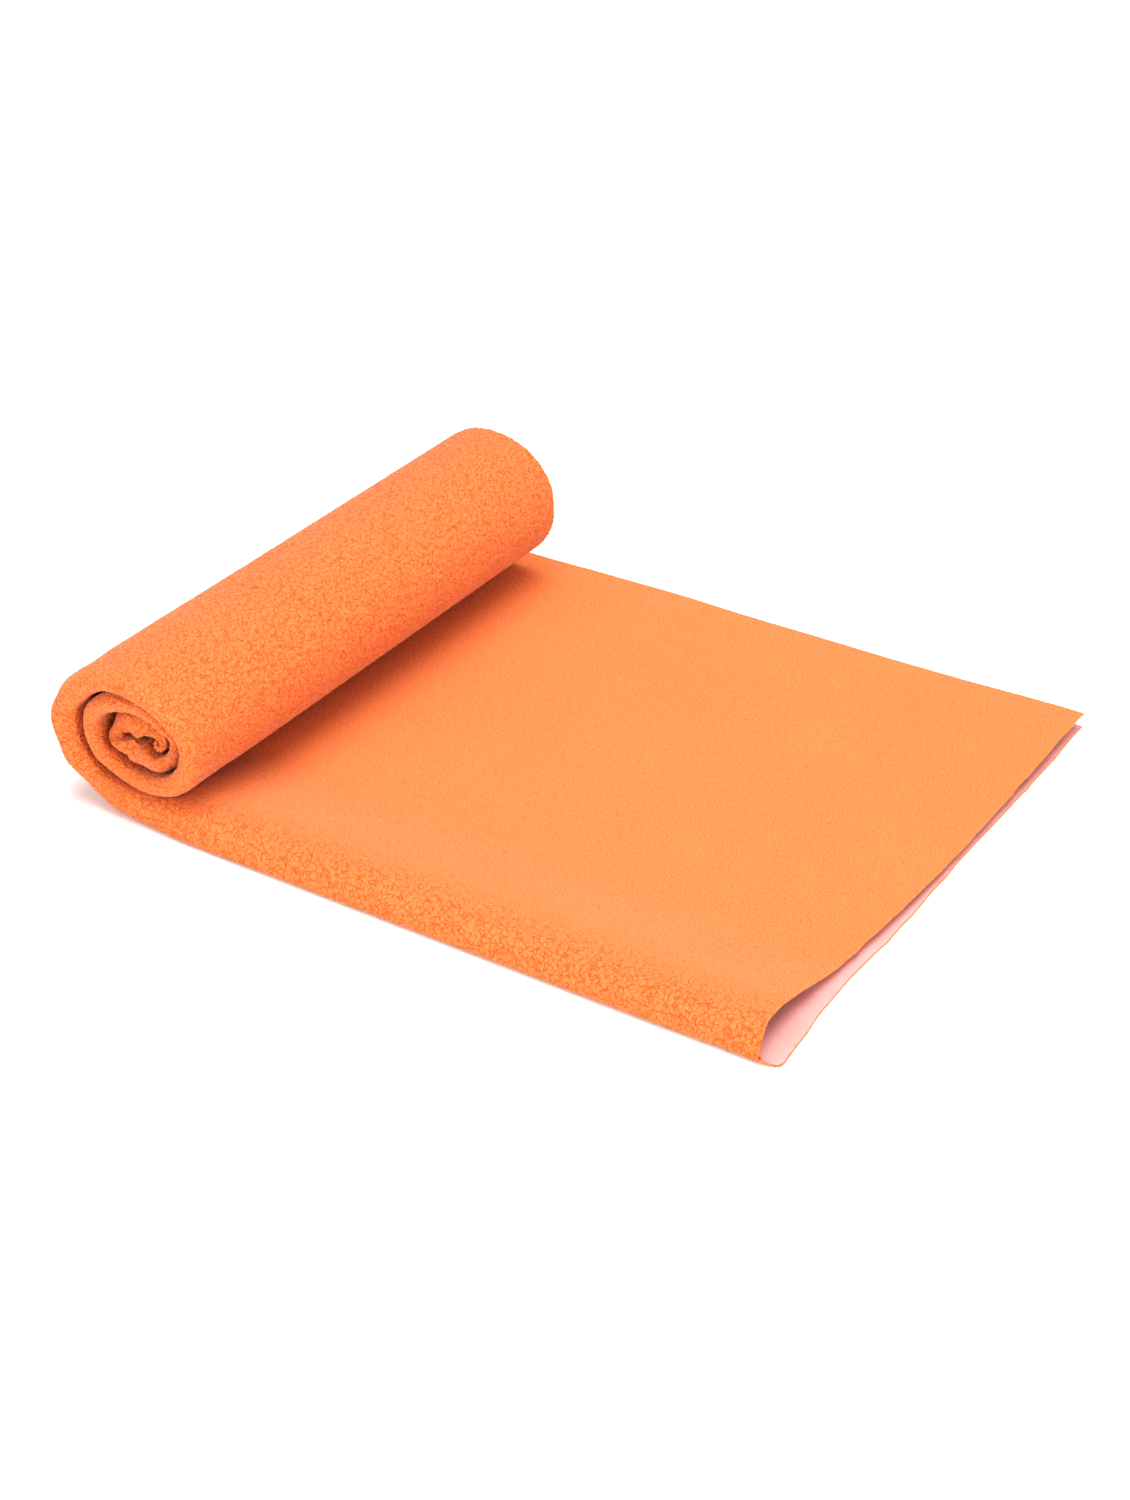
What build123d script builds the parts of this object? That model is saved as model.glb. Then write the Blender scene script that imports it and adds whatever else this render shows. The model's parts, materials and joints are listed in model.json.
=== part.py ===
from build123d import *

import math
import os

# Quick dry towel: one sheet of polar fleece with a thin waterproof film bonded to its back. It is folded in
# two lengthways, film inside, and one end is rolled up on top of the rest.
#
# Millimetres. +X runs along the towel to its free end, +Y across it from the fold to the open edges, and +Z is
# up. The origin is at the middle of the whole towel's box, on the surface that it lies on.
#
# Cloth bends anywhere, so the rolled length is made as strips that run across the towel. Each strip hinges to
# the one before it along its outer face, so the roll opens strip by strip until the towel lies flat.

os.makedirs("parts", exist_ok=True)

# The sheet
FOLDED_WIDTH = 350.0  # from the fold to the open edges: half of the sheet's 700
FLAT_LENGTH = 376.0  # from the first hinge to the free end
FLEECE = 2.0  # thickness of the fleece, nap included
FILM = 0.3  # thickness of the film
FILM_GAP = 0.4  # air between the two leaves' films
PAIR = 2 * (FLEECE + FILM) + FILM_GAP  # thickness of the two leaves together

# The fold along the near edge is a soft loop. The upper leaf comes down to the lower one behind it.
FLAT_LOOP = 13.5  # height of the loop in the flat part
LEAST_LOOP = PAIR + 0.6  # a strip's loop is at least this high
LOOP_CLEARANCE = 2.6  # a strip's loop stays this far from the turn inside it
HIGHEST_LOOP = 0.55  # a strip's loop is at most this share of the strip's width
BESIDE = 2  # strips on each side whose room a loop's height must fit too
NEXT_TURN = 4  # the turn inside a strip is at least this many strips further on
LOOP_RUN = 3.5  # the upper leaf comes down over this many loop heights

# The upper leaf lies back from the lower one at the free end, most at the fold.
SET_BACK = 11.0
SET_BACK_RUN = 280.0  # from the fold to where the two edges meet

# The outer face of the rolled length is a spiral of ellipses, seen from the fold's side. Each list gives one value
# for the start of the roll and for the end of each turn. The roll is loose and a little wider than high, and its
# middle drifts up and towards the free end. Places are from the first hinge.
HALF_WIDTHS = [48.0, 40.0, 25.5, 15.0]
HALF_HEIGHTS = [46.0, 32.0, 18.5, 9.0]
MIDDLES_ALONG = [-1.0, 7.5, 6.0, 7.5]
MIDDLES_UP = [46.0, 46.5, 46.5, 47.5]
PATH_POINTS = 12  # the curve's points in each turn
STRIPS = 28
NARROWING = 1.25  # over 1, the strips get narrower towards the middle of the roll
STRIP_GAP = 0.3  # between one strip and the next at their hinge

PAST = 1.0  # the blocks that trim the cloth reach this far past it
PARALLEL = 1e-9  # two unit directions whose cross product is smaller are parallel


def at_turn(values, turn):
    """The value at a number of turns from the start of the roll."""
    whole = min(int(turn), len(values) - 2)
    return values[whole] + (values[whole + 1] - values[whole]) * (turn - whole)


def roll_path():
    """The outer face of the rolled length as one smooth curve, from the flat part to the rolled end."""
    turns = len(HALF_WIDTHS) - 1
    points = [(0, 0)]
    for i in range(1, turns * PATH_POINTS + 1):
        turn = i / PATH_POINTS
        along = at_turn(MIDDLES_ALONG, turn) - at_turn(HALF_WIDTHS, turn) * math.sin(math.tau * turn)
        up = at_turn(MIDDLES_UP, turn) - at_turn(HALF_HEIGHTS, turn) * math.cos(math.tau * turn)
        points.append((along, up))
    return Spline(*points)


def hinge_points():
    """The (x, z) of each hinge, and last the rolled end."""
    path = roll_path()
    shares = [1 - (1 - i / STRIPS) ** NARROWING for i in range(STRIPS + 1)]
    places = [path.position_at(share) for share in shares]
    left = min(place.X for place in places)
    middle = (left + FLAT_LENGTH) / 2
    return [Vector(place.X - middle, 0, place.Y) for place in places]


HINGES = hinge_points()
FREE_END = HINGES[0].X + FLAT_LENGTH
RUNS = [after - before for before, after in zip(HINGES, HINGES[1:])]
AHEAD = [Vector(-1, 0, 0)] + [run.normalized() for run in RUNS]


def inward(along):
    """The direction from the outer face into the roll, where the cloth runs along a direction."""
    return (-along).cross(Vector(0, 1, 0))


def turn_at(hinge):
    """The angle in degrees by which the cloth turns at a hinge."""
    before, after = AHEAD[hinge], AHEAD[hinge + 1]
    return math.degrees(math.atan2(after.dot(inward(before)), after.dot(before)))


def leaf_line(loop, inset):
    """The cloth's section seen along the towel, as (across, in from the outer face): along the lower leaf to
    the fold, round the loop, and back along the upper leaf, a distance in from the fleece's face."""
    start = loop / 2
    near = FOLDED_WIDTH / -2
    down_at = near + start + LOOP_RUN * (loop - PAIR) + inset
    lower_edge = (FOLDED_WIDTH / 2, inset)
    low, front, high = (near + start, inset), (near + inset, start), (near + start, loop - inset)
    down, upper_edge = (down_at, PAIR - inset), (FOLDED_WIDTH / 2, PAIR - inset)
    return [
        Line(lower_edge, low),
        ThreePointArc(low, front, high),
        Line(high, down),
        Line(down, upper_edge),
    ]


def layer_section(loop, inset, thickness):
    """The section of one layer of the folded cloth."""
    outer, inner = leaf_line(loop, inset), leaf_line(loop, inset + thickness)
    ends = [Line(outer[i] @ t, inner[i] @ t) for i, t in ((0, 0), (-1, 1))]
    return make_face(outer + inner + ends)


def layer_along(start, along, length, loop, inset, thickness):
    """One layer of the folded cloth, from a place along a direction."""
    plane = Plane(origin=start + along * length, x_dir=(0, 1, 0), z_dir=-along)
    return extrude(plane * layer_section(loop, inset, thickness), amount=length)


def block(outline):
    """A block across the whole towel with this outline in XZ."""
    wire = Polyline(*[(point.X, 0, point.Z) for point in outline], close=True)
    return extrude(make_face(wire), amount=FOLDED_WIDTH, both=True)


def mitre(hinge, along):
    """The direction inwards between two strips, which halves the angle between them. Its length reaches one
    unit in from the outer face of the strip that runs along a direction."""
    bisector = inward(AHEAD[hinge]) + inward(AHEAD[hinge + 1])
    return bisector / bisector.dot(inward(along))


def strip_block(strip, reach):
    """The block that a strip fills, out to a reach in from its outer face, between its two mitred ends."""
    along = AHEAD[strip + 1]
    trim = along * (STRIP_GAP / 2)
    start, end = HINGES[strip] + trim, HINGES[strip + 1]
    first, last = mitre(strip, along), inward(along)
    if strip + 1 < STRIPS:
        end = end - trim
        last = mitre(strip + 1, along)
    return block([start - first * PAST, end - last * PAST, end + last * reach, start + first * reach])


def room_inside(strip):
    """How far the turn inside lies from a strip's outer face, measured from its ends and its middle."""
    into = inward(AHEAD[strip + 1])
    rooms = []
    for share in (0, 0.5, 1):
        place = HINGES[strip] + RUNS[strip] * share
        for before, run in zip(HINGES[strip + NEXT_TURN :], RUNS[strip + NEXT_TURN :]):
            across = into.X * run.Z - into.Z * run.X
            to_run = before - place
            if abs(across) > PARALLEL:
                away = (to_run.X * run.Z - to_run.Z * run.X) / across
                along_run = (to_run.X * into.Z - to_run.Z * into.X) / across
                if away > 0 and 0 <= along_run <= 1:
                    rooms.append(away)
    return min(rooms, default=LEAST_LOOP + LOOP_CLEARANCE)


def strip_loop(strip):
    """The height of the fold's loop in a strip. It leaves room for the turn inside, which passes under the
    strips beside this one too as the roll opens, and a narrow strip has a low loop."""
    beside = range(max(0, strip - BESIDE), min(STRIPS, strip + BESIDE + 1))
    room = min(room_inside(other) for other in beside) - LOOP_CLEARANCE
    return max(LEAST_LOOP, min(FLAT_LOOP, room, HIGHEST_LOOP * RUNS[strip].length))


def strip_layers(strip):
    """The fleece and the film of one strip of the rolled length."""
    along, loop = AHEAD[strip + 1], strip_loop(strip)
    room = strip_block(strip, loop + PAST)
    start = HINGES[strip] - along * loop
    length = RUNS[strip].length + 2 * loop
    fleece = layer_along(start, along, length, loop, 0, FLEECE) & room
    film = layer_along(start, along, length, loop, FLEECE, FILM) & room
    return fleece, film


def flat_layers():
    """The fleece and the film of the flat part, with the upper leaf's set-back at the free end."""
    along = Vector(-1, 0, 0)
    start = Vector(FREE_END, 0, 0)
    last, first = Vector(0, 0, 1), mitre(0, along)
    end, reach = HINGES[0] + Vector(STRIP_GAP / 2, 0, 0), FLAT_LOOP + PAST
    room = block([start - last * PAST, end - first * PAST, end + first * reach, start + last * reach])
    near, middle_height = FOLDED_WIDTH / -2, PAIR / 2
    cut = Polyline(
        (FREE_END + PAST, near - PAST),
        (FREE_END - SET_BACK, near - PAST),
        (FREE_END - SET_BACK, near + FLAT_LOOP / 2),
        (FREE_END, near + SET_BACK_RUN),
        (FREE_END + PAST, near + SET_BACK_RUN),
        close=True,
    )
    upper = Pos(0, 0, middle_height) * extrude(make_face(cut), amount=FLAT_LOOP)
    layers = []
    for inset, thickness in ((0, FLEECE), (FLEECE, FILM)):
        length = FLAT_LENGTH + 2 * FLAT_LOOP
        layers.append((layer_along(start, along, length, FLAT_LOOP, inset, thickness) & room) - upper)
    return layers


def write(layers, place):
    """Writes the fleece and the film of one length of the towel."""
    for layer, solid in zip(("fleece", "film"), layers):
        export_step(solid, f"parts/{layer}_{place}.step")


write(flat_layers(), "flat")
for strip in range(STRIPS):
    write(strip_layers(strip), f"roll_{strip + 1:02d}")
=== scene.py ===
"""The looks of a quick dry sheet: fleece with a film back, folded in two lengthways and rolled up from one
end.

Everything is in metres. The cloth is one surface over two distances measured on the cloth itself. s runs
along the towel: it is negative on the flat part and 0 at the first hinge, and grows into the roll. c runs
across the cloth, from the lower leaf's open edge, round the fold, to the upper leaf's open edge. The
surface is cut into pieces in the middle of each strip of the roll, so that each piece spans one hinge.
"""

import json
import math

import bpy
import numpy as np
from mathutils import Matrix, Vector


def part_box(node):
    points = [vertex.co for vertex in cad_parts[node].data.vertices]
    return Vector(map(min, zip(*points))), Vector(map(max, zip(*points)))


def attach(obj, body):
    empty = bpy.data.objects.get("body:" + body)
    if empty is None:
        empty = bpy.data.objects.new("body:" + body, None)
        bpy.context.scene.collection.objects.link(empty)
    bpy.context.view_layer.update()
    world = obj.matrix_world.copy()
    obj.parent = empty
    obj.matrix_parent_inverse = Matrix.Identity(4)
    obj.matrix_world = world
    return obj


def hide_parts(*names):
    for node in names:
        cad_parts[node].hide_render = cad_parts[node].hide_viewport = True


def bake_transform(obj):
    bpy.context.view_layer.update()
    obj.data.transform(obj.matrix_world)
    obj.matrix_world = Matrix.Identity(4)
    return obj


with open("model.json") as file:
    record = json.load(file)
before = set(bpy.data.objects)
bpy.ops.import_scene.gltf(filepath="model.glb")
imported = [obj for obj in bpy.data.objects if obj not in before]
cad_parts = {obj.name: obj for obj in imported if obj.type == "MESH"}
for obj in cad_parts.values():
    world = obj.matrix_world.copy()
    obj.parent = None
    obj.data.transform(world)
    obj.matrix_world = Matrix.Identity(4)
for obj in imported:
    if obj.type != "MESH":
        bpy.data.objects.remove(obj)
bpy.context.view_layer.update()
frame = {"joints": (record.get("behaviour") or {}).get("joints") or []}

# The cloth
SHEET_WIDTH = 0.700  # unfolded, the longest c
FLEECE = 0.0020  # thickness of the fleece
FILM = 0.0003  # thickness of the film
PAIR = 0.0050  # height of the two leaves where they lie together
GRID = 0.0010  # distance between the fleece's points
FILM_EVERY = 3  # the film keeps every third point

# Its frame
FOLD_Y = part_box("fleece_flat")[0].y
OPEN_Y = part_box("fleece_flat")[1].y
FREE_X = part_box("fleece_flat")[1].x
HINGES = np.array([(joint["pos_m"][0], joint["pos_m"][2]) for joint in frame["joints"]])
BODIES = ["flat_part"] + [joint["child"] for joint in frame["joints"]]
FLAT_LENGTH = FREE_X - HINGES[0, 0]
OUTSIDE_X = HINGES[:8, 0].mean()  # the average of the hinges on the roll's outside
RUN_POINTS = 40  # the smooth line's points between two hinges
LAST_RUN = 0.0086  # the cloth goes on this far past the last hinge
BEND_START = 0.012  # the flat part starts to bend this far before the first hinge
LEAST_BEND = 0.0002  # each piece bends over at least this distance

# The loop along the fold. Its front is two quarters of ellipses that meet where it reaches furthest out.
FREE_LOOP = 0.0165  # its height at the free end
FLAT_FRONT = (0.16, 0.30, 0.80)  # where it reaches out furthest, and its lower and upper reach, in heights
ROLL_FRONT = (0.50, 0.80, 0.38)  # the same in the roll, where lower is outside
CORE_FRONT = (0.50, 0.65, 0.20)  # and in the middle of the roll
CORE_START = 0.40  # which starts at this s
LOOP_RUN = 6.5  # the upper leaf comes down over this many heights
LEAST_LOOP = PAIR + 0.0004  # its least height
LOOP_PRESS = 0.0006  # it presses this far into the next turn inside
CORE_LOOP = 0.0170  # its greatest height in the middle of the roll
LEAN_OVER = 0.018  # it stands in the inward direction's average over this distance each way
TIGHT_LOOP = 0.95  # its greatest height as a share of the bend's radius
CLEAR_OF = 0.016  # a turn isn't in its own way within this distance along the cloth
LOOP_EVEN = 0.005  # the loop's height is evened out over this distance each way
FOLD_WANDER = 0.0030  # the fold runs in and out by this much in the roll
CORE_RECESS = 0.0040  # the middle of the roll lies this far in
CLOSING = 0.042  # it closes over the last of the cloth
TAIL = 0.012  # which is tucked in at its end, behind the loops beside it
TAIL_RECESS = 0.0110  # and lies this much further in
CREASE = 0.0030  # depth of the creases where the roll bends tightly
TIGHT_BEND = 0.034  # the radius below which it creases
PUFF = 0.0016  # depth of the dents between the puffs along the fold
PLEAT = 0.0035  # depth of the pleats in the middle of the roll
PLEAT_START = 0.42  # which start at this s
FILM_TUCK = 0.0020  # the film lies this much further in there
FOLD_BOW = 0.0018  # the flat part's fold bows out by this much
OPEN_RECESS = 0.0055  # the roll's open edges lie this far in
OPEN_LATER = 0.0085  # and this much more by the first turn's end
OPEN_WANDER = 0.0030  # and run in and out by this much

# The free end's upper edge lies back from the lower one, most near the fold.
EDGE_OUT = 0.0006  # the lower leaf reaches this far past the CAD part
LIP_OUT = 0.0042  # and this much further in its lip at the fold
SET_BACK = 0.0092  # the upper leaf's edge lies back by this much at the fold
SET_BACK_END = 0.250  # from the fold to where the edges meet
EDGE_THIN = 0.0011  # the fleece is this much thinner at the free edge
EDGE_EASE = 0.070  # the rows of points straighten over this distance from the free end
OPEN_LIFT = 0.0028  # the upper leaf's open edge stands this much higher
WAVE = 0.0016  # height of its long soft waves
RIPPLE = 0.0005  # and of the shorter ones
RAGGED = 0.0018  # the cut runs in and out by this much in long bends
NICKED = 0.0006  # and by this much in short ones

# The roll isn't quite round.
FAR_SHIFT = 0.0024  # its top leans away from the flat part at the open edges
NEAR_BULGE = 0.0100  # its outside bulges at the fold
NEAR_DROOP = 0.0056  # and the top of its outside droops there

# The nap's curls
CURL = 0.0031  # across one curl
ROLL_NAP = 0.00080  # height of the curls on the roll and along the fold
FLAT_NAP = 0.00020  # and where the cloth lies flat
RIM = 0.0004  # the fleece's cut edge stands out by this much

# Colours, linear
CRACK_SHADE_FLEECE = (0.69, 0.164, 0.040)  # painted shade in the cracks between the curls
FLEECE_COLOUR = (0.81, 0.276, 0.104)
LIGHT_FLEECE = (0.82, 0.300, 0.130)  # on the curls, and where the cloth lies flat, without painted shade
DEEP_PINK = (0.67, 0.345, 0.315)
PALE_PINK = (0.71, 0.385, 0.355)


def smooth(share):
    """From 0 to 1 with level ends."""
    share = np.clip(share, 0, 1)
    return share * share * (3 - 2 * share)


# The line that the outer face follows, in XZ


def roll_line():
    """Close points on a smooth curve through the hinges, from the first hinge to the rolled end."""
    angles = np.unwrap(np.arctan2(*np.diff(HINGES, axis=0).T[::-1]))
    last = 2 * angles[-1] - angles[-2]
    places = np.vstack([HINGES, HINGES[-1] + LAST_RUN * np.array([math.cos(last), math.sin(last)])])
    runs = np.diff(places, axis=0)
    lengths = np.linalg.norm(runs, axis=1)[:, None]
    ways = runs / lengths
    middle = (ways[:-1] * lengths[1:] + ways[1:] * lengths[:-1]) / (lengths[1:] + lengths[:-1])
    ends = np.vstack([[(-1, 0)], middle, [2 * ways[-1] - middle[-1]]])
    t = np.linspace(0, 1, RUN_POINTS, endpoint=False)[:, None]
    parts = [
        places[i] * (2 * t**3 - 3 * t**2 + 1)
        + ends[i] * lengths[i] * (t**3 - 2 * t**2 + t)
        + places[i + 1] * (3 * t**2 - 2 * t**3)
        + ends[i + 1] * lengths[i] * (t**3 - t**2)
        for i in range(len(runs))
    ]
    return np.vstack(parts + [places[-1:]])


def distances(points):
    """The distance along a line to each of its points."""
    return np.concatenate([[0], np.cumsum(np.linalg.norm(np.diff(points, axis=0), axis=1))])


def whole_line():
    """s, x, z and the inward direction's x and z at close, even places along the whole towel."""
    roll = roll_line()
    along = distances(roll)
    s = np.arange(-FLAT_LENGTH, along[-1], GRID / 4)
    x = np.where(s < 0, HINGES[0, 0] - s, np.interp(s, along, roll[:, 0]))
    z = np.where(s < 0, 0, np.interp(s, along, roll[:, 1]))
    way = np.stack([np.gradient(x), np.gradient(z)], axis=1)
    way /= np.linalg.norm(way, axis=1)[:, None]
    return s, x, z, way[:, 1], -way[:, 0]


LINE = whole_line()
ROLL_LENGTH = LINE[0][-1]
HINGE_S = distances(roll_line())[: len(HINGES) * RUN_POINTS : RUN_POINTS]


def on_line(s):
    """x, z, inward x and inward z at any s."""
    return [np.interp(s, LINE[0], values) for values in LINE[1:]]


def averaged(values, reach):
    """Each value's average with this many values on each side of it."""
    kernel = np.full(2 * reach + 1, 1 / (2 * reach + 1))
    return np.convolve(np.pad(values, reach, mode="edge"), kernel, mode="valid")


LEANS = [averaged(values, round(LEAN_OVER / (GRID / 4))) for values in LINE[3:]]


def lean(s):
    """The x and z of the direction in which the loop stands. It's shorter where the cloth bends tightly."""
    return [np.interp(s, LINE[0], values) for values in LEANS]


# How high the fold's loop is


def room_inside(s):
    """How far the cloth inside lies from the outer face at each s. Two loops that face each other share
    that room."""
    x, z, into_x, into_z = on_line(s)
    run_x, run_z = np.diff(x), np.diff(z)
    to_x, to_z = x[None, :-1] - x[:, None], z[None, :-1] - z[:, None]
    across = into_x[:, None] * run_z - into_z[:, None] * run_x
    across = np.where(np.abs(across) < 1e-12, 1e-12, across)
    away = (to_x * run_z - to_z * run_x) / across
    along = (to_x * into_z[:, None] - to_z * into_x[:, None]) / across
    facing = into_x[:, None] * into_x[:-1] + into_z[:, None] * into_z[:-1] < 0
    hit = (away > 0) & (along >= 0) & (along <= 1) & (np.abs(s[:, None] - s[:-1]) > CLEAR_OF)
    hit &= s[:-1] < ROLL_LENGTH - TAIL
    return np.where(hit, np.where(facing, away / 2, away), np.inf).min(axis=1)


def bend_radius(s):
    """The radius of the bend at each s, halfway between the line's own and that of the loop's direction."""
    line_turned = np.hypot(*[np.gradient(values, s) for values in on_line(s)[2:]])
    loop_turned = np.hypot(*[np.gradient(values, s) for values in lean(s)])
    return (1 / np.maximum(line_turned, 0.01) + 1 / np.maximum(loop_turned, 0.01)) / 2


def loop_heights():
    """s and the height of the loop there, every millimetre or so."""
    s = np.arange(-FLAT_LENGTH, ROLL_LENGTH, GRID)
    wanted = np.where(s < 0.75 * ROLL_LENGTH, FREE_LOOP, CORE_LOOP)
    heights = np.minimum(room_inside(s) + LOOP_PRESS, wanted)
    heights = np.minimum(heights, TIGHT_LOOP * bend_radius(s))
    reach = round(LOOP_EVEN / GRID)
    windows = np.lib.stride_tricks.sliding_window_view(np.pad(heights, reach, mode="edge"), 2 * reach + 1)
    even = averaged(windows.min(axis=1), reach)
    closing = smooth((ROLL_LENGTH - s) / CLOSING)
    return s, LEAST_LOOP + np.maximum(even - LEAST_LOOP, 0) * closing


LOOP_LINE = loop_heights()


def fronts(s):
    """The shape of the loop's front at each s, in heights."""
    in_roll, in_core = smooth((s + 0.04) / 0.07), smooth((s - CORE_START) / 0.06)
    shapes = zip(FLAT_FRONT, ROLL_FRONT, CORE_FRONT)
    return [flat + (roll - flat) * in_roll + (core - roll) * in_core for flat, roll, core in shapes]


def section(loop, fold_y, open_y, furthest, below, above, c):
    """At each c, y, the height in from the outer face, and how far round the loop it is, from 0 to 1. The
    cloth gives a little across, so that both leaves end at open_y."""
    quarter = np.linspace(0, math.pi / 2, 25)
    down = np.linspace(0, 1, 41)[1:]
    top_y = fold_y + above * loop
    far_y = top_y + LOOP_RUN * (loop - PAIR)
    parts = [
        (open_y, 0, 0),
        (
            fold_y + below * loop * (1 - np.sin(quarter)),
            furthest * loop * (1 - np.cos(quarter)),
            quarter / math.pi,
        ),
        (
            fold_y + above * loop * (1 - np.cos(quarter[1:])),
            loop * (furthest + (1 - furthest) * np.sin(quarter[1:])),
            0.5 + quarter[1:] / math.pi,
        ),
        (top_y + (far_y - top_y) * down, PAIR + (loop - PAIR) * (1 - smooth(down)), np.ones_like(down)),
        (open_y, PAIR, 1),
    ]
    y, height, round_it = (np.concatenate([np.atleast_1d(part[i]) for part in parts]) for i in range(3))
    along = distances(np.stack([y, height], axis=1))
    along *= SHEET_WIDTH / along[-1]
    return [np.interp(c, along, values) for values in (y, height, round_it)]


# Seeded patterns over the cloth


def noise(u, v, seed):
    """Smooth noise from 0 to 1 with one value at each whole u and v."""
    table = np.random.default_rng(seed).random((256, 256))
    i, j = np.floor(u).astype(int), np.floor(v).astype(int)
    f, g = smooth(u - i), smooth(v - j)
    low = table[i % 256, j % 256] * (1 - f) + table[(i + 1) % 256, j % 256] * f
    high = table[i % 256, (j + 1) % 256] * (1 - f) + table[(i + 1) % 256, (j + 1) % 256] * f
    return low * (1 - g) + high * g


def cells(u, v, seed):
    """The distances to the nearest and the next of one scattered point in each whole square."""
    table = np.random.default_rng(seed).random((2, 256, 256))
    i, j = np.floor(u).astype(int), np.floor(v).astype(int)
    nearest, following = np.full(u.shape, 9.0), np.full(u.shape, 9.0)
    for di in (-1, 0, 1):
        for dj in (-1, 0, 1):
            a, b = (i + di) % 256, (j + dj) % 256
            away = np.hypot(i + di + table[0, a, b] - u, j + dj + table[1, a, b] - v)
            following = np.minimum(following, np.maximum(nearest, away))
            nearest = np.minimum(nearest, away)
    return nearest, following


def curls(s, c):
    """The nap, from 0 in its cracks to 1 on its curls."""
    bend_s = noise(s / 0.0045, c / 0.0045, 11) - 0.5
    bend_c = noise(s / 0.0045, c / 0.0045, 12) - 0.5
    nearest, following = cells(s / CURL + 0.9 * bend_s, c / (1.2 * CURL) + 0.9 * bend_c, 13)
    crest = np.sqrt(np.clip((following - nearest) / 0.40, 0, 1))
    return 0.8 * crest + 0.2 * noise(s / 0.0016, c / 0.0016, 14)


# The surface


def piece_ends():
    """The s of the cuts between the pieces: the free end, just before the first hinge, and mid-strip."""
    middles = (HINGE_S[:-1] + HINGE_S[1:]) / 2
    return np.concatenate([[-FLAT_LENGTH, -BEND_START], middles, [ROLL_LENGTH]])


def cloth_lengths(ends, depth):
    """The sheet's length between cuts, measured at a depth in from the outer face."""
    x, z, into_x, into_z = LINE[1:]
    along = distances(np.stack([x + into_x * depth, z + into_z * depth], axis=1))
    return np.diff(np.interp(ends, LINE[0], along))


def rows_between(ends):
    """Every row's s, and the row number of each cut."""
    rows, cuts = [], [0]
    for start, end in zip(ends, ends[1:]):
        count = max(4, round((end - start) / GRID))
        rows.append(np.linspace(start, end, count, endpoint=False))
        cuts.append(cuts[-1] + count)
    return np.concatenate(rows + [ends[-1:]]), cuts


def free_edge(c):
    """How far back from the lower leaf's free edge the cloth's edge lies at each c."""
    upper = c - SHEET_WIDTH / 2
    rise = 0.7 * smooth((upper + 0.0095) / 0.0060) + 0.3 * smooth(upper / 0.030)
    fall = 1 - smooth(upper / SET_BACK_END) ** 0.8
    lip = LIP_OUT * smooth((upper + 0.070) / 0.064) * (1 - rise)
    ragged = RAGGED * (noise(c / 0.045, c * 0, 21) - 0.5) + NICKED * (noise(c / 0.008, c * 0, 22) - 0.5)
    return SET_BACK * rise * fall + ragged - EDGE_OUT - lip


def lie(s, c, heights):
    """Adds the soft waves of the flat part's upper leaf, and the lift of its open edge."""
    upper = smooth((c - SHEET_WIDTH / 2 - 0.015) / 0.05) * (1 - smooth((s - 0.01) / 0.06))
    waves = noise(s / 0.085 + 3.3, c / 0.12, 31) * WAVE + noise(s / 0.032, c / 0.045, 32) * RIPPLE
    open_edge = smooth((c - 0.80 * SHEET_WIDTH) / (0.20 * SHEET_WIDTH)) * OPEN_LIFT
    return heights + upper * (waves + open_edge)


def fold_line(s):
    """The fold's y at each s. In the roll it wanders, and the turns inside lie further in."""
    in_roll = smooth((s - 0.02) / 0.05)
    wander = noise(s / 0.027, s * 0, 41) * FOLD_WANDER
    creases = noise(s / 0.0075, s * 0, 43) * CREASE * smooth(2 - 2 * bend_radius(s) / TIGHT_BEND)
    inner = smooth(s / ROLL_LENGTH * 1.2 - 0.2) * CORE_RECESS
    tail = smooth((s - ROLL_LENGTH + TAIL) / (0.7 * TAIL)) * TAIL_RECESS
    bow = (0.6 + 0.4 * smooth((s + FLAT_LENGTH) / 0.08)) * smooth(-s / 0.05) * FOLD_BOW
    return FOLD_Y - bow + in_roll * (wander + creases + inner + tail)


def open_line(s):
    """The open edges' y at each s. In the roll they lie further in and wander."""
    wander = noise(s / 0.035, s * 0, 42) * OPEN_WANDER
    later = smooth((s - 0.12) / 0.13) * OPEN_LATER
    return OPEN_Y - smooth(s / 0.05) * (OPEN_RECESS + wander + later)


def pressed(points, s):
    """Moves the roll's surface out of round, and leaves its foot where it stands."""
    x, y, z = np.moveaxis(points, -1, 0)
    share = (y - FOLD_Y) / (OPEN_Y - FOLD_Y)
    high = smooth(s / 0.04) * smooth((z - 0.006) / 0.035)
    shift = (share - 0.35) * FAR_SHIFT * 1.5 * high
    outside = smooth((OUTSIDE_X - x) / 0.04)
    bulge = NEAR_BULGE * outside * np.exp(-share / 0.15) * smooth(s / 0.03)
    droop = NEAR_DROOP * outside * np.exp(-share / 0.06) * smooth((z - 0.05) / 0.03)
    return np.stack([x - 0.6 * shift - bulge, y, z + 0.8 * shift - droop], axis=-1)


def placed(s, y, heights):
    """Points at each s, y and height in from the outer face."""
    x, z, into_x, into_z = on_line(s)
    x = np.where(s < -FLAT_LENGTH, HINGES[0, 0] - s, x)
    lean_x, lean_z = lean(s)
    low = np.minimum(heights, PAIR)
    x = x + into_x * low + lean_x * (heights - low)
    z = z + into_z * low + lean_z * (heights - low)
    return pressed(np.stack([x, y, z], axis=-1), s)


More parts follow.
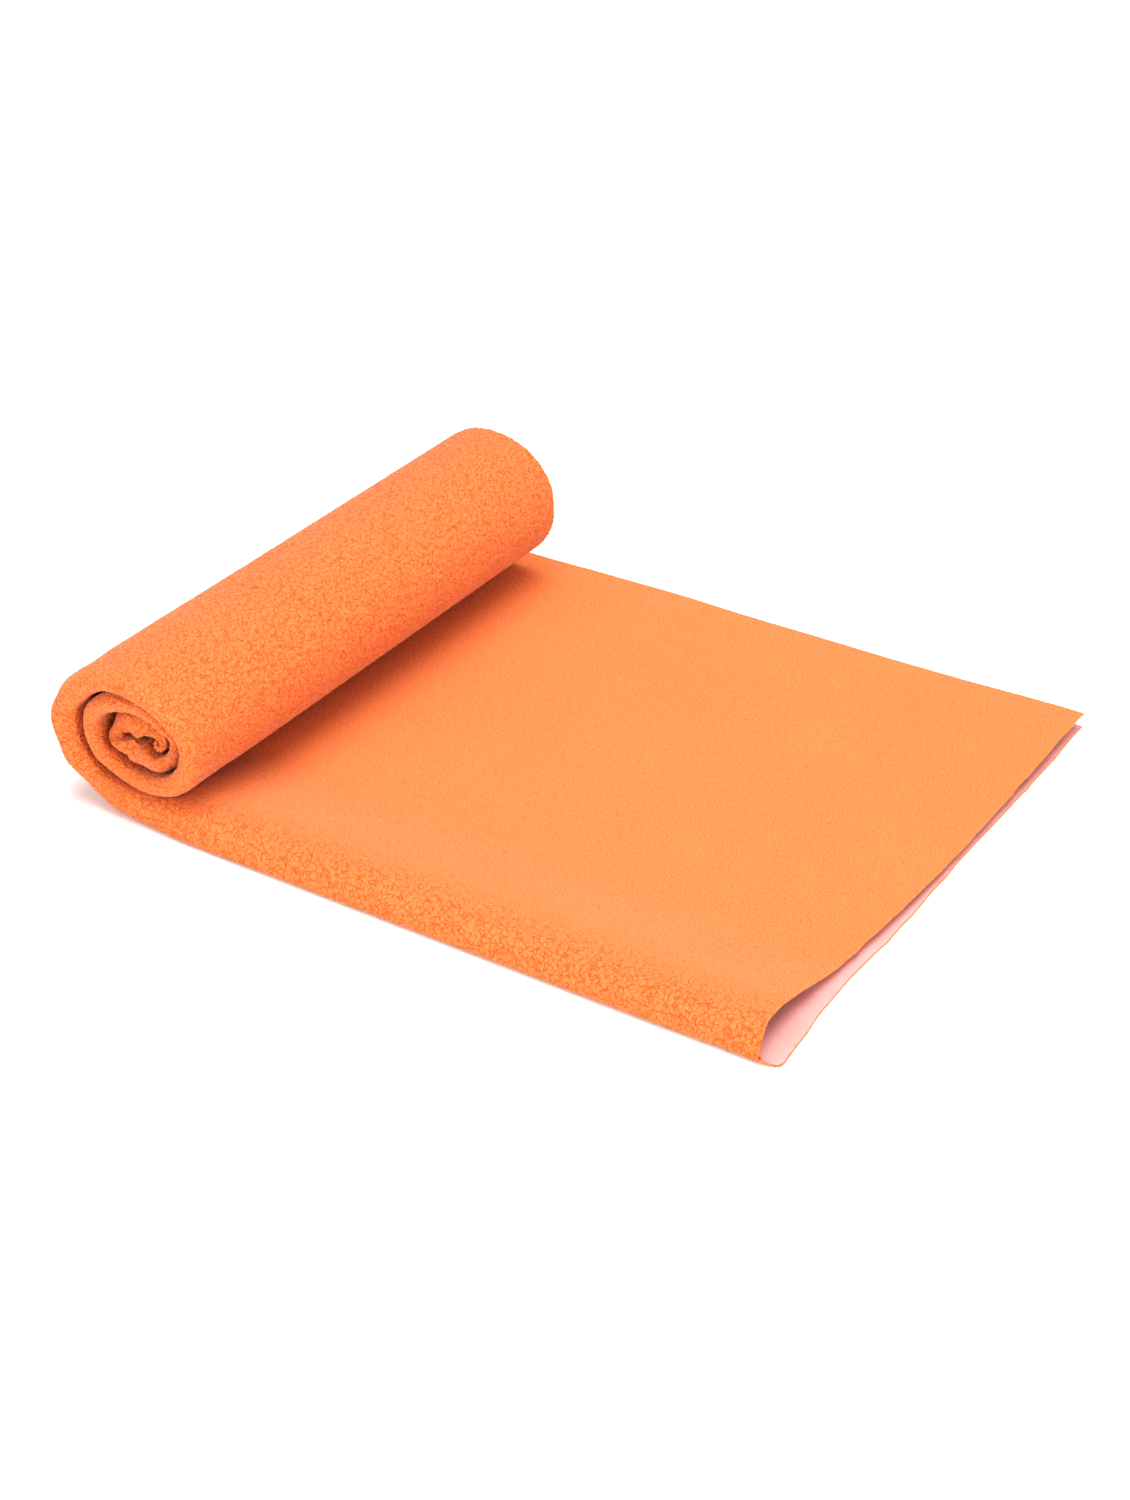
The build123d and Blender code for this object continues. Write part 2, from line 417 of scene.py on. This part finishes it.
def surfaces(rows, c):
    """The fleece's outer face without its nap, the film's face, the fleece's thickness, and s, each at
    every point."""
    ease = smooth(1 - (rows + FLAT_LENGTH) / EDGE_EASE)
    s = rows[:, None] + ease[:, None] * free_edge(c)[None, :]
    across = np.broadcast_to(c, s.shape)
    shapes = zip(np.interp(rows, *LOOP_LINE), fold_line(rows), open_line(rows), *fronts(rows))
    sections = np.array([section(*values, c) for values in shapes])
    y, heights, round_it = sections[:, 0], lie(s, across, sections[:, 1]), sections[:, 2]
    by_fold = 1 - smooth((np.abs(across - SHEET_WIDTH / 2) - 0.015) / 0.06)
    pleated = smooth((s - PLEAT_START) / 0.03) * by_fold
    y = y + PLEAT * pleated * noise(s / 0.011, across / 0.006, 44)
    outer = placed(s, y, heights)
    thickness = FLEECE - EDGE_THIN * smooth(1 - (s + FLAT_LENGTH) / 0.012)
    inset = thickness + FILM
    inner_y = y + inset * np.sin(math.pi * round_it) + FILM_TUCK * pleated
    inner = placed(s, inner_y, heights + inset * np.cos(math.pi * round_it))
    dents = PUFF * noise(s / 0.014, across / 0.017, 33) * by_fold * smooth(s / 0.03)
    sunk = outward(outer) * dents[..., None]
    return outer - sunk, inner - sunk, thickness[..., None], s


def outward(points):
    """The unit normals of a grid of points, out of the fleece."""
    normals = np.cross(np.gradient(points, axis=1), np.gradient(points, axis=0))
    return normals / np.maximum(np.linalg.norm(normals, axis=-1, keepdims=True), 1e-15)


def nap_height(s, c):
    """How high the curls stand."""
    by_fold = 1 - smooth((np.abs(c - SHEET_WIDTH / 2) - 0.012) / 0.03)
    in_roll = smooth((s + 0.01) / 0.10)
    return FLAT_NAP + (ROLL_NAP - FLAT_NAP) * np.maximum(by_fold, in_roll)


def rimmed(points, normals, bulge, depth):
    """A grid of points with two more rows and columns all round, which turn in at its edges to a depth."""
    for axis in (0, 1):
        depth_first, depth_last = np.take(depth, [0], axis), np.take(depth, [-1], axis)
        first, second = np.take(points, [0], axis), np.take(points, [1], axis)
        before_last, last = np.take(points, [-2], axis), np.take(points, [-1], axis)
        out_first = (first - second) / np.linalg.norm(first - second, axis=-1, keepdims=True)
        out_last = (last - before_last) / np.linalg.norm(last - before_last, axis=-1, keepdims=True)
        n_first, n_last = np.take(normals, [0], axis), np.take(normals, [-1], axis)
        points = np.concatenate(
            [
                first - n_first * depth_first,
                first - n_first * depth_first / 2 + out_first * bulge,
                points,
                last - n_last * depth_last / 2 + out_last * bulge,
                last - n_last * depth_last,
            ],
            axis,
        )
        depth = np.concatenate([depth_first, depth_first, depth, depth_last, depth_last], axis)
        normals = np.concatenate([n_first, n_first, normals, n_last, n_last], axis)
    return points


def edged(values):
    """The same for values that the added rows and columns repeat."""
    return np.pad(values, 2, mode="edge")


# Meshes


def grid_mesh(name, points, rest, attributes, material):
    """A piece from a grid of points. rest is c and s at each point, so that patterns stay on the cloth."""
    rows, columns = points.shape[:2]
    index = np.arange(rows * columns).reshape(rows, columns)
    faces = np.stack([index[:-1, :-1], index[:-1, 1:], index[1:, 1:], index[1:, :-1]], axis=-1).reshape(-1)
    mesh = bpy.data.meshes.new(name)
    mesh.vertices.add(rows * columns)
    mesh.vertices.foreach_set("co", points.astype(np.float32).ravel())
    mesh.loops.add(len(faces))
    mesh.loops.foreach_set("vertex_index", faces.astype(np.int32))
    mesh.polygons.add(len(faces) // 4)
    mesh.polygons.foreach_set("loop_start", np.arange(0, len(faces), 4, dtype=np.int32))
    mesh.update(calc_edges=True)
    corners = rest.reshape(-1, 2)[faces].astype(np.float32)
    mesh.uv_layers.new(name="rest").data.foreach_set("uv", corners.ravel())
    for title, values in attributes.items():
        attribute = mesh.attributes.new(title, "FLOAT", "POINT")
        attribute.data.foreach_set("value", values.astype(np.float32).ravel())
    mesh.materials.append(material)
    piece = bpy.data.objects.new(name, mesh)
    bpy.context.scene.collection.objects.link(piece)
    return piece


def give_normals(piece, normals):
    """Normals from the whole cloth, so that the pieces' joints don't show."""
    piece.data.normals_split_custom_set_from_vertices(normals.reshape(-1, 3).tolist())


def hold(piece, number, first, last):
    """Rides the flat part, or, for the piece over the hinge before strip number, raises an error if first
    and last, the piece's end sections, lie less than LEAST_BEND apart along the way between them, and bakes
    its transform."""
    if number == 0:
        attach(piece, BODIES[0])
        return
    middle = first.mean(axis=0)
    way = last.mean(axis=0) - middle
    way[1] = 0
    way /= np.linalg.norm(way)
    start = middle + way * ((first - middle) @ way).max()
    end = middle + way * ((last - middle) @ way).min()
    if (end - start) @ way < LEAST_BEND:
        raise ValueError(f"{piece.name} bends over less than {LEAST_BEND} metres")
    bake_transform(piece)


# Materials


class Nodes:
    """A new material's nodes, with short ways to add and join them."""

    def __init__(self, name):
        self.material = bpy.data.materials.new(name)
        self.material.use_nodes = True
        self.tree = self.material.node_tree
        self.shader = self.tree.nodes["Principled BSDF"]

    def add(self, kind, settings=None, **inputs):
        """Adds a node. An input is a value or another node's output."""
        node = self.tree.nodes.new(kind)
        for name, value in (settings or {}).items():
            setattr(node, name, value)
        for name, value in inputs.items():
            self.put(node.inputs[name.replace("_", " ")], value)
        return node

    def put(self, socket, value):
        """Gives a socket a value, or links it to another node's output."""
        if isinstance(value, bpy.types.NodeSocket):
            self.tree.links.new(value, socket)
        else:
            socket.default_value = value

    def ramp(self, value, stops):
        """A colour ramp with (place, colour) stops."""
        node = self.add("ShaderNodeValToRGB", Fac=value)
        elements = node.color_ramp.elements
        while len(elements) < len(stops):
            elements.new(0.5)
        for element, (place, colour) in zip(elements, stops):
            element.position = place
            element.color = (*colour, 1)
        return node.outputs["Color"]

    def mix(self, a, b, factor, blend="MIX"):
        """Two colours mixed."""
        node = self.tree.nodes.new("ShaderNodeMix")
        node.data_type = "RGBA"
        node.blend_type = blend
        self.put(node.inputs["Factor"], factor)
        self.put(node.inputs[6], a)
        self.put(node.inputs[7], b)
        return node.outputs[2]

    def cracks(self, place, scale, wander, contrast):
        """From 0 in the winding cracks between curls to 1 on the curls."""
        noise_at = self.add("ShaderNodeTexNoise", Vector=place, Scale=scale, Detail=1.0).outputs["Color"]
        bent = self.tree.nodes.new("ShaderNodeVectorMath")
        bent.operation = "MULTIPLY_ADD"
        self.put(bent.inputs[0], noise_at)
        self.put(bent.inputs[1], (wander, wander, 0))
        self.put(bent.inputs[2], place)
        settings = {"feature": "DISTANCE_TO_EDGE"}
        edges = self.add("ShaderNodeTexVoronoi", settings, Vector=bent.outputs[0], Scale=scale)
        return self.sums("MINIMUM", self.sums("MULTIPLY", edges.outputs["Distance"], contrast), 1.0)

    def sums(self, operation, a, b):
        """One sum of two values or outputs."""
        node = self.add("ShaderNodeMath", {"operation": operation})
        self.put(node.inputs[0], a)
        self.put(node.inputs[1], b)
        return node.outputs[0]


def fleece_material():
    """Orange fleece: curls with painted shade in the cracks and hollows between them, finer fibres on them,
    and a soft sheen.
    """
    nodes = Nodes("fleece")
    rest = nodes.add("ShaderNodeUVMap", {"uv_map": "rest"}).outputs[0]
    curl = nodes.add("ShaderNodeAttribute", {"attribute_name": "curl"}).outputs["Fac"]
    loft = nodes.add("ShaderNodeAttribute", {"attribute_name": "loft"}).outputs["Fac"]
    crack = nodes.cracks(rest, 360.0, 0.0036, 7.0)
    whole = nodes.add("ShaderNodeTexNoise", Vector=rest, Scale=330.0, Detail=1.0).outputs[0]
    whole = nodes.sums("MULTIPLY", nodes.sums("SUBTRACT", whole, 0.48), 6.0)
    crack = nodes.sums("MAXIMUM", crack, whole)
    tuft = nodes.cracks(rest, 620.0, 0.0016, 4.0)
    fibres = nodes.add("ShaderNodeTexNoise", Vector=rest, Scale=1000.0, Detail=4.0, Roughness=0.65)
    fibres = fibres.outputs[0]
    patches = nodes.add("ShaderNodeTexNoise", Vector=rest, Scale=14.0, Detail=3.0, Roughness=0.5).outputs[0]
    # painted shade: the cracks between the curls are coloured darker
    crack_shaded_colour = nodes.ramp(crack, [(0.0, CRACK_SHADE_FLEECE), (0.6, FLEECE_COLOUR), (1.0, LIGHT_FLEECE)])
    # painted shade in the curls' hollows, where the nap's geometry dips
    painted_hollow_shade = nodes.ramp(curl, [(0.0, (0.95, 0.86, 0.76)), (0.5, (1.0, 1.0, 1.0))])
    crack_shaded_colour = nodes.mix(crack_shaded_colour, painted_hollow_shade, 1.0, "MULTIPLY")
    # the painted crack shade shows where the nap stands high, on the roll and along the fold; flat cloth
    # keeps the light colour
    colour = nodes.mix((*LIGHT_FLEECE, 1), crack_shaded_colour, loft)
    # painted shade in the finer cracks between the tufts
    tuft_crack_shade = nodes.ramp(tuft, [(0.0, (0.93, 0.80, 0.66)), (0.5, (1.0, 1.0, 1.0))])
    speckled = nodes.ramp(fibres, [(0.30, (0.88, 0.74, 0.62)), (0.70, (1.0, 1.0, 1.0))])
    patched = nodes.ramp(patches, [(0.3, (0.985, 0.97, 0.95)), (0.7, (1.0, 1.0, 1.0))])
    for factor in (tuft_crack_shade, speckled, patched):
        colour = nodes.mix(colour, factor, 1.0, "MULTIPLY")
    nodes.put(nodes.shader.inputs["Base Color"], colour)
    lofty = nodes.sums("MULTIPLY", crack, loft)
    fine = nodes.sums("ADD", nodes.sums("MULTIPLY", tuft, 0.4), nodes.sums("MULTIPLY", fibres, 0.3))
    height = nodes.sums("ADD", nodes.sums("MULTIPLY", lofty, 1.2), fine)
    bump = nodes.add("ShaderNodeBump", Strength=0.6, Distance=0.0006, Height=height).outputs[0]
    nodes.put(nodes.shader.inputs["Normal"], bump)
    nodes.shader.inputs["Roughness"].default_value = 0.95
    nodes.shader.inputs["Specular IOR Level"].default_value = 0.1
    nodes.shader.inputs["Sheen Weight"].default_value = 0.5
    nodes.shader.inputs["Sheen Roughness"].default_value = 0.3
    nodes.shader.inputs["Sheen Tint"].default_value = (1.0, 0.82, 0.70, 1)
    return nodes.material


def film_material():
    """Pale pink film with a soft shine and the faint grain of the knit behind it."""
    nodes = Nodes("film")
    rest = nodes.add("ShaderNodeUVMap", {"uv_map": "rest"}).outputs[0]
    grain = nodes.add("ShaderNodeTexNoise", Vector=rest, Scale=700.0, Detail=2.0, Roughness=0.5).outputs[0]
    cloudy = nodes.add("ShaderNodeTexNoise", Vector=rest, Scale=45.0, Detail=3.0, Roughness=0.5).outputs[0]
    colour = nodes.ramp(cloudy, [(0.3, DEEP_PINK), (0.7, PALE_PINK)])
    nodes.put(nodes.shader.inputs["Base Color"], colour)
    bump = nodes.add("ShaderNodeBump", Strength=0.25, Distance=0.0003, Height=grain).outputs[0]
    nodes.put(nodes.shader.inputs["Normal"], bump)
    roughness = nodes.ramp(grain, [(0.3, (0.40,) * 3), (0.7, (0.55,) * 3)])
    nodes.put(nodes.shader.inputs["Roughness"], roughness)
    return nodes.material


def floor_material():
    """Matt white."""
    nodes = Nodes("floor")
    nodes.shader.inputs["Base Color"].default_value = (0.94, 0.94, 0.94, 1)
    nodes.shader.inputs["Roughness"].default_value = 0.9
    nodes.shader.inputs["Specular IOR Level"].default_value = 0.1
    return nodes.material


# The cloth's pieces


def make_cloth():
    """The fleece and the film, piece by piece."""
    ends = piece_ends()
    lengths = np.array([cloth_lengths(ends, depth) for depth in (FLEECE / 2, FLEECE + FILM)])
    rows, cuts = rows_between(ends)
    c = np.linspace(0, SHEET_WIDTH, round(SHEET_WIDTH / GRID) + 1)
    base, inner, thickness, s = surfaces(rows, c)
    across = np.broadcast_to(c, s.shape)
    out = outward(base)
    curl, height = curls(s, across), nap_height(s, across)
    outer = base - out * ((1 - curl) * height)[..., None]
    curl, loft = edged(curl), edged((height - FLAT_NAP) / (ROLL_NAP - FLAT_NAP))
    fleece = rimmed(outer, out, RIM, thickness)
    fleece_normals = outward(fleece)
    rest = np.stack([edged(across), edged(s)], axis=-1)
    inner = rimmed(inner, -outward(inner), 0.0, np.full_like(thickness, FILM))
    fleece_look, film_look = fleece_material(), film_material()
    by_edges = [0, 1, c.size + 1, c.size + 2, c.size + 3]
    kept_columns = np.unique(np.append(np.arange(2, c.size + 2, FILM_EVERY), by_edges))
    for number, (start, end) in enumerate(zip(cuts, cuts[1:])):
        first = start + 2 if number else 0
        last = end + 2 if end < cuts[-1] else end + 4
        span = slice(first, last + 1)
        marks = {"curl": curl[span], "loft": loft[span]}
        piece = grid_mesh(f"fleece_cloth_{number:02d}", fleece[span], rest[span], marks, fleece_look)
        give_normals(piece, fleece_normals[span])
        kept_rows = np.unique(np.append(np.arange(first, last, FILM_EVERY), last))
        chosen = np.ix_(kept_rows, kept_columns)
        film = grid_mesh(f"film_cloth_{number:02d}", inner[chosen], rest[chosen], {}, film_look)
        for made in (piece, film):
            hold(made, number, fleece[first], fleece[last])
        node = BODIES[number] if number else "flat"
        for made, layer, length in zip((piece, film), ("fleece", "film"), lengths[:, number]):
            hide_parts(f"{layer}_{node}")
            for face in made.data.polygons:
                face.use_smooth = True


def make_floor():
    """The white surface that the towel lies on."""
    bpy.ops.mesh.primitive_plane_add(size=12)
    floor = bpy.context.object
    floor.name = "floor"
    floor.data.materials.append(floor_material())


def make_light(name, kind, place, strength, settings):
    """A soft light that points at the towel."""
    data = bpy.data.lights.new(name, kind)
    data.energy = strength
    for setting, value in settings.items():
        setattr(data, setting, value)
    light = bpy.data.objects.new(name, data)
    light.location = place
    light.rotation_euler = (-Vector(place)).to_track_quat("-Z", "Y").to_euler()
    bpy.context.scene.collection.objects.link(light)


def make_lights():
    """A white room, a broad light from above, and two low ones for the near side and the free end."""
    world = bpy.data.worlds.new("studio")
    world.use_nodes = True
    nodes, links = world.node_tree.nodes, world.node_tree.links
    seen = nodes.new("ShaderNodeLightPath").outputs["Is Camera Ray"]
    strength = nodes.new("ShaderNodeMath")
    strength.operation = "MULTIPLY_ADD"
    links.new(seen, strength.inputs[0])
    strength.inputs[1].default_value = 0.7
    strength.inputs[2].default_value = 0.53
    nodes["Background"].inputs["Color"].default_value = (1, 1, 1, 1)
    links.new(strength.outputs[0], nodes["Background"].inputs["Strength"])
    bpy.context.scene.world = world
    make_light("top", "SUN", (0.05, 0.4, 2.0), 1.75, {"angle": 0.85})
    make_light("fill", "AREA", (-0.1, -1.9, 0.8), 15, {"shape": "DISK", "size": 1.6})
    make_light("side", "AREA", (1.8, -0.6, 0.5), 13, {"shape": "DISK", "size": 1.2})


def make_camera():
    """The camera, from the fold's side and a little past the free end."""
    data = bpy.data.cameras.new("camera")
    data.lens = 61.2
    data.sensor_width = 36
    camera = bpy.data.objects.new("camera", data)
    camera.location = (0.6163, -0.9746, 0.7067)
    aim = Vector((-0.0122, 0.0046, 0)) - camera.location
    camera.rotation_euler = aim.to_track_quat("-Z", "Y").to_euler()
    bpy.context.scene.collection.objects.link(camera)
    bpy.context.scene.camera = camera


make_camera()
make_cloth()
make_floor()
make_lights()
bpy.context.scene.view_settings.view_transform = "Standard"
bpy.context.scene.view_settings.look = "High Contrast"
